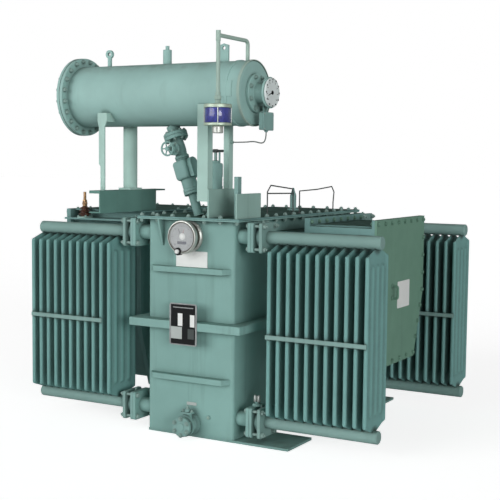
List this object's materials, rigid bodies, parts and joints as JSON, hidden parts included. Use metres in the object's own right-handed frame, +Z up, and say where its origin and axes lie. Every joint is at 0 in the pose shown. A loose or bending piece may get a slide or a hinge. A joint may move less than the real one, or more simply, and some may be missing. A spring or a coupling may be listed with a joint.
{
  "type": "power transformer",
  "caption": "Oil-filled power transformer with fluted radiator banks, side cable boxes, an oil conservator on legs, a sloping pipe with relay and valve, a dial and a breather.",
  "frame": {"origin": "centre of the bounding box at ground level, in the plane of the base plates' undersides", "axes": "+Z up, -Y towards the tank's end wall with the dial, +X towards the high-voltage cable box"},
  "size_m": [1.99, 1.643, 1.982],
  "materials": {
    "tank_paint": "satin sea-green paint",
    "radiator_paint": "satin sea-green paint",
    "box_paint": "satin sea-green paint",
    "conservator_paint": "satin sea-green paint",
    "frame_paint": "satin sea-green paint",
    "fitting_paint": "satin paint over a cast surface",
    "dial_metal": "fine cast and turned",
    "plate_metal": "printed sheet",
    "clear_glass": "clear",
    "blue_glass": "clear over blue grains",
    "breather_cast": "dull cast",
    "porcelain": "glossy glaze",
    "stud_metal": "dull metal",
    "cable_sheath": "smooth sheath"
  },
  "bodies": {
    "root": {"tank_body": "tank_paint", "tank_cover": "tank_paint", "base_plates": "tank_paint", "wall_stiffeners": "tank_paint", "mid_band": "tank_paint", "rating_plate": "plate_metal", "dial_case": "dial_metal", "dial_glass": "clear_glass", "drain_valve": "fitting_paint", "front_right_fins": "radiator_paint", "front_left_fins": "radiator_paint", "rear_right_fins": "radiator_paint", "rear_left_fins": "radiator_paint", "radiator_headers": "radiator_paint", "tank_stubs": "tank_paint", "radiator_valves": "fitting_paint", "radiator_braces": "radiator_paint", "box_pockets": "box_paint", "hv_cable_box": "box_paint", "hv_box_cover": "box_paint", "lv_cable_box": "box_paint", "lv_upper_housing": "box_paint", "lv_box_cover": "box_paint", "neutral_bushing": "porcelain", "bushing_stud": "stud_metal", "conservator_shell": "conservator_paint", "conservator_end_cover": "conservator_paint", "gauge_neck": "conservator_paint", "level_gauge": "dial_metal", "gauge_junction_box": "conservator_paint", "support_legs": "frame_paint", "brace_plates": "frame_paint", "left_beam": "frame_paint", "left_posts": "frame_paint", "gas_relay": "fitting_paint", "gate_valve": "fitting_paint", "handwheels": "fitting_paint", "sloping_pipes": "fitting_paint", "shell_fittings": "conservator_paint", "breather_pipe": "fitting_paint", "breather_ends": "breather_cast", "breather_glass": "blue_glass", "cover_valve": "fitting_paint", "cover_posts": "fitting_paint", "gauge_cable": "cable_sheath"}
  },
  "joints": []
}
